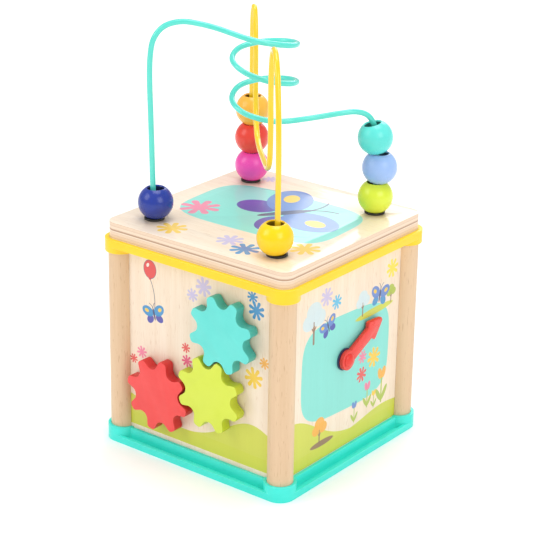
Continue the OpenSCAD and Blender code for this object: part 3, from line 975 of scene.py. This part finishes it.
@dataclass(frozen=True)
class Wheel(Finish):
    """Cream disc printed with a ring of coloured fans round its hub."""

    middle: Point
    rim: float
    inner: float
    ring: float = 0.8
    sweep: float = 0.022
    cream: Colour = ink(250, 238, 212)
    shade: Colour = ink(240, 222, 190)

    def lay(self, surface: Surface) -> None:
        """Lays the wood and the fans on an empty surface."""
        graph = surface.graph
        parts = graph.add("SeparateXYZ", {0: surface.spot}).outputs
        across, up = (graph.minus(graph.times(parts[axis], 1 / MM), middle)
                      for axis, middle in zip("XZ", self.middle))
        reach = graph.reach(across, up)
        swept = graph.plus(graph.math("ARCTAN2", up, across),
                           graph.times(reach, self.sweep))
        turn = graph.math("FRACT", graph.plus(graph.over(swept, 2 * math.pi), 0.5))
        ramp = graph.add("ValToRGB", {0: turn})
        ramp.color_ramp.interpolation = "CONSTANT"
        fans = (RED, ORANGE, YELLOW, GRASS, AQUA, SKY, CORNFLOWER, PINK)
        stops = ramp.color_ramp.elements
        stops[0].color, stops[1].position, stops[1].color = fans[0], 1 / 8, fans[1]
        for index, fan in enumerate(fans[2:], start=2):
            stops.new(index / len(fans)).color = fan
        band = graph.math("ABSOLUTE", graph.minus(reach, (self.rim + self.inner) / 2))
        printed = graph.times(graph.math("LESS_THAN", reach, self.rim),
                              graph.math("GREATER_THAN", reach, self.inner))
        wood = surface.grain(Grain.ALONG_X, self.cream, self.shade, TWIG, flecks=0.15)
        colour = graph.mix(printed, wood["Color"], ramp.outputs[0])
        colour = graph.mix(graph.math("LESS_THAN", band, self.ring), colour,
                           wood["Color"])
        rough = surface.satin(wood["Height"], level=0.36, swing=0.1)
        surface.finish(colour, rough, wood["Height"], relief=(0.04, 0.25),
                       Coat_Weight=0.3)


# ---------------------------------------------------------------- mesh help


FLAT_BEND = 0.8
NOWHERE = -100.0


def put(name: str, data: bpy.types.ID) -> Object:
    """Puts a mesh, a lamp or a camera in the scene."""
    made = bpy.data.objects.new(name, data)
    bpy.context.scene.collection.objects.link(made)
    return made


def finish_mesh(name: str, shape: BMesh, sharp: float = 38.0
                ) -> Object:
    """Turns a bmesh into a linked, smooth-shaded object.

    Args:
        name: the object's name.
        shape: the mesh, which is freed.
        sharp: edges that bend more than this many degrees stay crisp.

    Returns:
        The new object.
    """
    bmesh.ops.recalc_face_normals(shape, faces=shape.faces)
    mesh = bpy.data.meshes.new(name)
    shape.to_mesh(mesh)
    shape.free()
    mesh.shade_smooth()
    mesh.set_sharp_from_angle(angle=math.radians(sharp))
    return put(name, mesh)


def cad_shape(node: str) -> BMesh:
    """A CAD node's mesh with its doubled corners joined.

    Args:
        node: the CAD node.

    Returns:
        The mesh, to be freed by the caller.
    """
    shape = bmesh.new()
    shape.from_mesh(frame["nodes"][node].data)
    bmesh.ops.remove_doubles(shape, verts=shape.verts, dist=0.002 * MM)
    return shape


def flatten(shape: BMesh) -> None:
    """Joins a mesh's triangles into whole flat faces."""
    bmesh.ops.dissolve_limit(shape, angle_limit=math.radians(FLAT_BEND),
                             verts=shape.verts, edges=shape.edges)


def soft_copy(node: str, width: float, steps: int = 3, bend: float = 32.0
              ) -> Object:
    """A copy of a CAD node with its edges rounded inwards, standing for the node.

    Args:
        node: the CAD node.
        width: how far the rounding reaches, in millimetres.
        steps: faces across the rounding.
        bend: edges that bend more than this many degrees are rounded.

    Returns:
        The new object.
    """
    shape = cad_shape(node)
    flatten(shape)
    edges = [edge for edge in shape.edges if len(edge.link_faces) == 2
             and edge.calc_face_angle(0) > math.radians(bend)]
    bmesh.ops.bevel(shape, geom=edges, offset=width * MM, segments=steps, profile=0.5,
                    affect="EDGES", clamp_overlap=True, offset_type="OFFSET")
    return stand_for(finish_mesh(f"{node}_soft", shape), node)


def stand_for(piece: Object, node: str) -> Object:
    """Puts a piece in a CAD node's place and on its body, and hides the node.

    Args:
        piece: the visible piece.
        node: the CAD node it stands for.

    Returns:
        The same piece.
    """
    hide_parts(node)
    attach(piece, frame["nodes"][node]["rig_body"])
    return piece


def dress(piece: Object, material: Material) -> None:
    """Gives a piece one material."""
    piece.data.materials.clear()
    piece.data.materials.append(material)
    LOG.info("%s: %s, %d faces", piece.name, material.name, len(piece.data.polygons))


def round_corner(middle: Point, radius: float, start: float, end: float, steps: int
                 ) -> list[Point]:
    """Points along an arc.

    Args:
        middle: its middle.
        radius: its radius.
        start: the angle it starts at, in degrees.
        end: the angle it ends at.
        steps: how many straight pieces it has.

    Returns:
        Its points, both ends included.
    """
    angles = (math.radians(start + (end - start) * k / steps) for k in range(steps + 1))
    return [(middle[0] + radius * math.cos(angle), middle[1] + radius * math.sin(angle))
            for angle in angles]


def lathe(name: str, outline: list[Point], middle: Vector, axis: Vector,
          sides: int = 96) -> Object:
    """Turns an outline round an axis.

    Args:
        name: the object's name.
        outline: radius and height of each point, in millimetres, as a closed loop.
        middle: the point at radius 0 and height 0, in metres.
        axis: direction of the axis.
        sides: facets round the axis.

    Returns:
        The new object.
    """
    shape = bmesh.new()
    turn = axis.to_track_quat("Z", "Y").to_matrix()
    rings = []
    for k in range(sides):
        angle = 2 * math.pi * k / sides
        rings.append([shape.verts.new(middle + turn @ Vector(
            (radius * math.cos(angle), radius * math.sin(angle), height)) * MM)
            for radius, height in outline])
    for k in range(sides):
        here, there = rings[k], rings[(k + 1) % sides]
        for m in range(len(outline)):
            nxt = (m + 1) % len(outline)
            shape.faces.new((here[m], there[m], there[nxt], here[nxt]))
    bmesh.ops.remove_doubles(shape, verts=shape.verts, dist=0.001 * MM)
    return finish_mesh(name, shape)


def joint_axis(body: str) -> Vector:
    """Direction of the joint that carries a body."""
    axes = {joint["child"]: joint["axis"] for joint in frame["joints"]}
    return Vector(axes[body]).normalized()


def middle_of(node: str) -> Vector:
    """Middle of a CAD node's box."""
    low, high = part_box(node)
    return (low + high) / 2


# ---------------------------------------------------------------- the object


WHITE_PLASTIC = Moulded(ink(240, 240, 236), ink(228, 228, 222))
CLIP_PLASTIC = Moulded(ink(238, 238, 234), ink(226, 226, 220))


@dataclass
class Tray:
    """The turquoise plastic base, its plywood bottom and the screws under it."""

    edge: float = 0.45
    screw_head: float = 3.5
    recess: float = 1.2
    taper: float = 0.7

    def build(self) -> None:
        """Makes and dresses every piece of the base."""
        shell = Moulded(ink(62, 238, 222), ink(50, 228, 212), gloss=0.34, glow=0.06)
        dress(soft_copy("base_tray", self.edge), shell.build("turquoise_plastic_tray"))
        board = Timber(ink(236, 208, 170), ink(216, 180, 140), TWIG, 0.5, Grain.ALONG_X)
        dress(soft_copy("base_board", 0.25), board.build("bottom_board"))
        steel = Steel(ink(206, 206, 210)).build("zinc_screws")
        for node in ("base_board_screws", "post_screws_low", "post_screws_high",
                     "lid_screws"):
            dress(self.cross_headed(node), steel)

    def cross_headed(self, node: str) -> Object:
        """A copy of a group of screws with crossed recesses cut in their heads.

        Args:
            node: the CAD node that holds the screws.

        Returns:
            The new object.
        """
        shape = cad_shape(node)
        flatten(shape)
        heads = [face for face in shape.faces
                 if abs(face.normal.z) > 0.99
                 and face.calc_area() > 3.0 * self.screw_head ** 2 * MM * MM]
        for face in heads:
            self.sink_cross(shape, face)
        return stand_for(finish_mesh(f"{node}_cut", shape, 30), node)

    def sink_cross(self, shape: BMesh, face: bmesh.types.BMFace) -> None:
        """Presses a cross into one flat head.

        Args:
            shape: the mesh the head is in.
            face: the head's flat face.
        """
        middle, inward = face.calc_center_median(), -face.normal
        arm, slot = self.screw_head * 0.62 * MM, self.screw_head * 0.15 * MM
        corners = [(slot, slot), (slot, arm), (-slot, arm)]
        for _ in range(3):
            corners += [(-y, x) for x, y in corners[-3:]]
        rim = list(face.verts)
        shape.faces.remove(face)
        top = [shape.verts.new(middle + Vector((x, y, 0))) for x, y in corners]
        floor = [shape.verts.new(middle + Vector((x, y, 0)) * self.taper
                                 + inward * self.recess * MM) for x, y in corners]
        for k, corner in enumerate(top):
            after = (k + 1) % len(top)
            shape.faces.new((corner, top[after], floor[after], floor[k]))
        shape.faces.new(floor)
        loops = [shape.edges.get((ring[k], ring[(k + 1) % len(ring)]))
                 or shape.edges.new((ring[k], ring[(k + 1) % len(ring)]))
                 for ring in (rim, top) for k in range(len(ring))]
        bmesh.ops.triangle_fill(shape, use_beauty=True, edges=loops)


@dataclass
class Box:
    """The posts, the four printed panels, the yellow frame and the lid."""

    frame_edge: float = 0.45
    lid_edge: float = 0.8
    rail: float = 10.8
    bare_strip: float = 2.8

    def build(self) -> None:
        """Dresses the panels and makes the soft-edged frame and lid."""
        beech = Timber(ink(234, 202, 166), ink(220, 184, 144), ink(190, 146, 106), 0.55,
                       Grain.ALONG_Z).build("beech_post")
        for node in ("post_front", "post_left", "post_right", "post_back"):
            dress(frame["nodes"][node], beech)
        panels = {"panel_gears": Side.GEARS, "panel_dial": Side.DIAL,
                  "panel_spin": Side.SPIN, "panel_slide": Side.SLIDE}
        for node, side in panels.items():
            lowest = self.rail + (self.bare_strip if side is Side.GEARS else 0.0)
            finish = PrintedPly(node, side, Grain.ALONG_Z, sheet=1.0, line=NOWHERE,
                                varnish=0.25, lowest=lowest)
            dress(frame["nodes"][node], finish.build(f"printed_{node}"))
        rim = Moulded(ink(253, 216, 24), ink(250, 206, 12), gloss=0.34, glow=0.06)
        dress(soft_copy("top_frame", self.frame_edge),
              rim.build("yellow_plastic_frame"))
        lid = PrintedPly("lid_board", Side.LID, Grain.ALONG_X, sheet=2.1, line=9.9,
                         varnish=0.8, lowest=NOWHERE)
        dress(soft_copy("lid_board", self.lid_edge, 4), lid.build("printed_lid"))


@dataclass
class GearTrain:
    """Three painted gears that mesh, with their dowel pins and clips."""

    edge: float = 0.35

    def build(self) -> None:
        """Makes the gears and dresses their pins and clips."""
        # each gear has its paint, a deeper tone of it, and a darker copy that is painted
        # on its sides as shade
        paints = {"gear_turquoise": (ink(108, 226, 216), ink(92, 214, 204),
                                     ink(72, 184, 174)),
                  "gear_lime": (ink(218, 232, 80), ink(208, 224, 64),
                                ink(194, 208, 56)),
                  "gear_red": (ink(244, 80, 78), ink(232, 64, 64), ink(212, 50, 50))}
        pin = Timber(ink(226, 192, 152), ink(208, 170, 128), TWIG, 0.6,
                     Grain.ALONG_Y).build("dowel_pin")
        clip = WHITE_PLASTIC.build("white_clip")
        for node, (colour, deep, side_shade) in paints.items():
            finish = Paint(colour, deep, gloss=0.4, coat=0.12, way=Grain.ALONG_X,
                           side_shade=side_shade)
            dress(soft_copy(node, self.edge), finish.build(f"{node}_paint"))
            dress(soft_copy(f"{node}_pin", 0.3), pin)
            dress(soft_copy(f"{node}_clip", 0.3), clip)


@dataclass
class Pointer:
    """The red arrow on its navy washer, with a domed button and a clip."""

    edge: float = 0.5

    def build(self) -> None:
        """Makes and dresses the pointer's pieces."""
        red = Moulded(ink(240, 62, 50), ink(226, 44, 36), gloss=0.3,
                      glow=0.08).build("red_arrow")
        navy = Moulded(ink(30, 40, 84), ink(22, 30, 66)).build("navy_washer")
        clip = CLIP_PLASTIC.build("pointer_clip")
        dress(soft_copy("dial_arrow", self.edge), red)
        dress(soft_copy("dial_pin", 0.2, 2), red)
        dress(soft_copy("dial_spacer", 0.15, 2), navy)
        dress(soft_copy("dial_clip", 0.3), clip)


@dataclass
class Sliders:
    """Two knobs that slide in slots, each on a stem with a wide foot."""

    edge: float = 0.3
    bore: float = 3.02
    rim: float = 0.6
    groove: float = 0.35
    nose: float = 2.5
    dish: float = 1.1

    def build(self) -> None:
        """Makes and dresses the knobs and stems."""
        stem = WHITE_PLASTIC.build("white_stem")
        knobs = {"slider_low": (ink(250, 160, 60), ink(242, 142, 40)),
                 "slider_high": (ink(80, 170, 235), ink(62, 150, 222))}
        for body, (colour, deep) in knobs.items():
            finish = Paint(colour, deep, gloss=0.3, coat=0.3, way=Grain.ALONG_Y)
            dress(self.turned_knob(body), finish.build(f"{body}_paint"))
            dress(soft_copy(f"{body}_stem", self.edge), stem)

    def turned_knob(self, body: str) -> Object:
        """A knob with a rounded rim, a shallow dish in front and a turned groove.

        Args:
            body: the knob's body.

        Returns:
            The new object.
        """
        node = f"{body}_knob"
        low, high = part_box(node)
        radius, thick = (high.z - low.z) / 2 / MM, (high.x - low.x) / MM
        depth, waist = thick * 0.6, radius - self.groove
        outline = [
            (0, depth), (self.bore, depth), (self.bore, 0),
            *round_corner((radius - self.rim, self.rim), self.rim, -90, 0, 4),
            (waist, thick * 0.42), (waist, thick * 0.5),
            *round_corner((radius - self.nose, thick - self.nose), self.nose, 0, 90,
                          10),
            (radius - 4.5, thick - 0.25), (radius - 7, thick - 0.8),
            (0, thick - self.dish)]
        foot = Vector((high.x, (low.y + high.y) / 2, (low.z + high.z) / 2))
        knob = lathe(f"{node}_turned", outline, foot, Vector((-1, 0, 0)))
        return stand_for(knob, node)


@dataclass
class Spinner:
    """The printed disc with its finger peg, its capped pin and its clip."""

    print_gap: float = 3.0
    hub: float = 9.0

    def build(self) -> None:
        """Makes and dresses the disc's pieces."""
        low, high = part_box("spin_disc")
        middle = middle_of("spin_disc") / MM
        wheel = Wheel((middle.x, middle.z), (high.x - low.x) / 2 / MM - self.print_gap,
                      self.hub)
        dress(soft_copy("spin_disc", 0.35), wheel.build("printed_wheel"))
        peg = Paint(ink(240, 70, 66), ink(226, 52, 50), gloss=0.3, coat=0.3,
                    way=Grain.ALONG_Y)
        dress(soft_copy("spin_peg", 0.2), peg.build("red_peg"))
        cap = Moulded(ink(240, 66, 54), ink(226, 48, 40)).build("red_disc_cap")
        dress(soft_copy("spin_pin", 0.25), cap)
        clip = CLIP_PLASTIC.build("disc_clip")
        dress(soft_copy("spin_clip", 0.3), clip)


@dataclass
class Wires:
    """The two coated wires, their ferrules and the black washers at their feet.

    A swell of the radius makes up for the flats that smoothing draws inwards.
    """

    radius: float = 1.9
    smooth: int = 2
    swell: float = 0.064

    def build(self) -> None:
        """Makes smooth wires and dresses their fittings."""
        coats = {"wire_turquoise": Dipped(ink(92, 226, 210), ink(76, 214, 196)),
                 "wire_yellow": Dipped(ink(253, 212, 36), ink(250, 200, 20))}
        for node, coat in coats.items():
            dress(self.smooth_wire(node), coat.build(f"{node}_coat"))
        steel = Steel(ink(198, 198, 202)).build("ferrule_steel")
        dress(soft_copy("wire_ferrules", 0.2, 2), steel)
        rubber = Moulded(ink(34, 33, 34), ink(22, 22, 23),
                         gloss=0.45).build("black_washer")
        dress(soft_copy("wire_washers", 0.3), rubber)

    def smooth_wire(self, node: str) -> Object:
        """A round, smooth copy of a faceted CAD wire.

        Args:
            node: the wire's CAD node.

        Returns:
            The new object.
        """
        shape = cad_shape(node)
        low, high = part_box(node)
        for vert in shape.verts:
            pushed = vert.co + vert.normal * self.radius * MM * self.swell
            vert.co = [min(max(at, least), most)
                       for at, least, most in zip(pushed, low, high)]
        bmesh.ops.join_triangles(shape, faces=shape.faces, angle_face_threshold=0.9,
                                 angle_shape_threshold=3.1)
        piece = finish_mesh(f"{node}_smooth", shape, 60)
        rounder = piece.modifiers.new("round", "SUBSURF")
        rounder.levels = rounder.render_levels = self.smooth
        return stand_for(piece, node)


@dataclass
class Beads:
    """Eight turned and painted beads."""

    hole: float = 5.5
    lip: float = 0.9
    turn_in: float = 1.5
    # how much of the bead's colour the painted shade in the bore keeps
    bore_shade_share: float = 0.22

    def build(self) -> None:
        """Makes and dresses the beads."""
        paints = {"navy": (ink(40, 62, 158), ink(28, 46, 136)),
                  "yellow": (ink(255, 214, 10), ink(252, 202, 6)),
                  "lime": (ink(228, 244, 72), ink(216, 236, 54)),
                  "sky": (ink(164, 196, 246), ink(148, 182, 240)),
                  "turquoise": (ink(102, 230, 220), ink(84, 216, 206)),
                  "magenta": (ink(255, 88, 190), ink(246, 72, 174)),
                  "red": (ink(246, 76, 62), ink(236, 58, 46)),
                  "orange": (ink(252, 190, 72), ink(248, 174, 56))}
        for name, (colour, deep) in paints.items():
            node = f"bead_{name}"
            finish = Paint(colour, deep, gloss=0.24, coat=0.3)
            bead = self.turned_bead(node)
            dress(bead, finish.build(f"{node}_paint"))
            self.paint_bore_shade(bead, node, colour)

    def paint_bore_shade(self, bead: Object, node: str, colour: Colour) -> None:
        """Paints shade into the drilled hole: its faces get a darkened copy of the
        bead's paint, standing in for the shade deep inside the bore.

        Args:
            bead: the bead's visible piece.
            node: its CAD node.
            colour: the bead's paint.
        """
        # painted shade: the bore's colour is the bead's paint darkened to this share
        thin = tuple(part * self.bore_shade_share for part in colour[:3]) + (1.0,)
        coat = Paint(thin, thin, gloss=0.6, coat=0.0)
        bead.data.materials.append(coat.build(f"{node}_bore"))
        middle, axis = middle_of(node), joint_axis(node)
        for face in bead.data.polygons:
            off = face.center - middle
            if (off - axis * off.dot(axis)).length < (self.hole + 0.2) * MM:
                face.material_index = 1

    def turned_bead(self, node: str) -> Object:
        """A round bead with a bore and softened rims.

        Args:
            node: the bead's CAD node, which is also its body.

        Returns:
            The new object.
        """
        low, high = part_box("bead_lime")
        radius = (high.x - low.x) / 2 / MM
        rim = self.hole + self.lip
        half = math.sqrt(radius ** 2 - rim ** 2)
        tilt = math.degrees(math.atan2(half, rim)) - self.turn_in
        ball = round_corner((0, 0), radius, -tilt, tilt, 40)
        lip = [(rim - 0.1, half - 0.02), (rim - 0.45, half - 0.35),
               (self.hole + 0.12, half - 0.9), (self.hole, half - 1.6)]
        outline = ball + lip + [(across, -up) for across, up in reversed(lip)]
        return stand_for(lathe(f"{node}_turned", outline, middle_of(node),
                               joint_axis(node)), node)


# ---------------------------------------------------------------- the studio


@dataclass
class Studio:
    """Camera, floor and soft lights."""

    azimuth: float = 37.8
    elevation: float = 21.31
    roll: float = 0.873
    place: Place = (0.70606, -0.90824, 0.57277)
    lens: float = 121.9
    sensor: float = 36.0
    floor_size: float = 30.0
    room_light: float = 0.5
    aim: Place = (0.0, 0.0, 0.12)

    def build(self) -> None:
        """Makes the camera, the floor, the sky and the lights."""
        self.camera()
        self.floor()
        self.sky()
        self.light("key", (-1.3, -1.9, 1.7), size=1.5, power=20.0)
        self.light("fill", (2.3, -0.7, 1.5), size=1.5, power=20.0)
        self.light("rim", (-0.8, 2.2, 1.6), size=1.4, power=16.0)
        self.daylight((0.1, 0.2, 2.4), spread=40.0, strength=1.5)

    def camera(self) -> None:
        """Stands the camera off the front corner, above the lid."""
        around, above, lean = (math.radians(angle) for angle in
                               (self.azimuth, self.elevation, self.roll))
        ahead = -Vector((math.sin(around) * math.cos(above),
                         -math.cos(around) * math.cos(above), math.sin(above)))
        right = ahead.cross(Vector((0, 0, 1))).normalized()
        up = right.cross(ahead)
        across = right * math.cos(lean) + up * math.sin(lean)
        upright = up * math.cos(lean) - right * math.sin(lean)
        data = bpy.data.cameras.new("camera")
        data.sensor_width, data.lens = self.sensor, self.lens
        data.clip_start, data.clip_end = 0.05, 60.0
        pose = Matrix((across, upright, -ahead)).transposed().to_4x4()
        pose.translation = Vector(self.place)
        camera = put("camera", data)
        camera.matrix_world = pose
        bpy.context.scene.camera = camera

    def floor(self) -> None:
        """Lays a plain pale floor."""
        shape = bmesh.new()
        bmesh.ops.create_grid(shape, x_segments=2, y_segments=2,
                              size=self.floor_size / 2)
        ground = finish_mesh("floor", shape)
        surface = Surface.start("pale_floor")
        mottle = surface.mottle(ink(252, 252, 252), ink(249, 249, 249), gloss=0.7,
                                fine=200.0)
        surface.graph.feed(surface.shader.inputs["Base Color"], mottle["Color"])
        surface.graph.feed(surface.shader.inputs["Roughness"], mottle["Roughness"])
        dress(ground, surface.material)

    def sky(self) -> None:
        """Fills the room with even white light."""
        world = bpy.data.worlds.new("studio")
        world.use_nodes = True
        light = world.node_tree.nodes["Background"].inputs
        light["Color"].default_value = (1, 1, 1, 1)
        light["Strength"].default_value = self.room_light
        scene = bpy.context.scene
        scene.world = world
        scene.view_settings.view_transform = "Standard"

    def light(self, name: str, place: Place, size: float, power: float) -> None:
        """Hangs one soft square light that looks at the cube.

        Args:
            name: its name.
            place: where it hangs, in metres.
            size: its width in metres.
            power: its power in watts.
        """
        data = bpy.data.lights.new(name, "AREA")
        data.size, data.energy = size, power
        lamp = put(name, data)
        lamp.location = place
        away = Vector(self.aim) - Vector(place)
        lamp.rotation_euler = away.to_track_quat("-Z", "Y").to_euler()

    def daylight(self, place: Place, spread: float, strength: float) -> None:
        """Lights the whole floor evenly.

        Args:
            place: where the light comes from, seen from the middle.
            spread: how wide it spreads, in degrees.
            strength: its strength.
        """
        data = bpy.data.lights.new("daylight", "SUN")
        data.energy, data.angle = strength, math.radians(spread)
        lamp = put("daylight", data)
        lamp.rotation_euler = (-Vector(place)).to_track_quat("-Z", "Y").to_euler()


def main() -> None:
    """Builds the studio and every part of the cube, in order."""
    logging.basicConfig(level=logging.INFO, format="%(message)s")
    for part in (Studio(), Tray(), Box(), GearTrain(), Pointer(), Sliders(), Spinner(),
                 Wires(), Beads()):
        LOG.info("building %s", type(part).__name__)
        part.build()


if __name__ == "__main__":
    main()
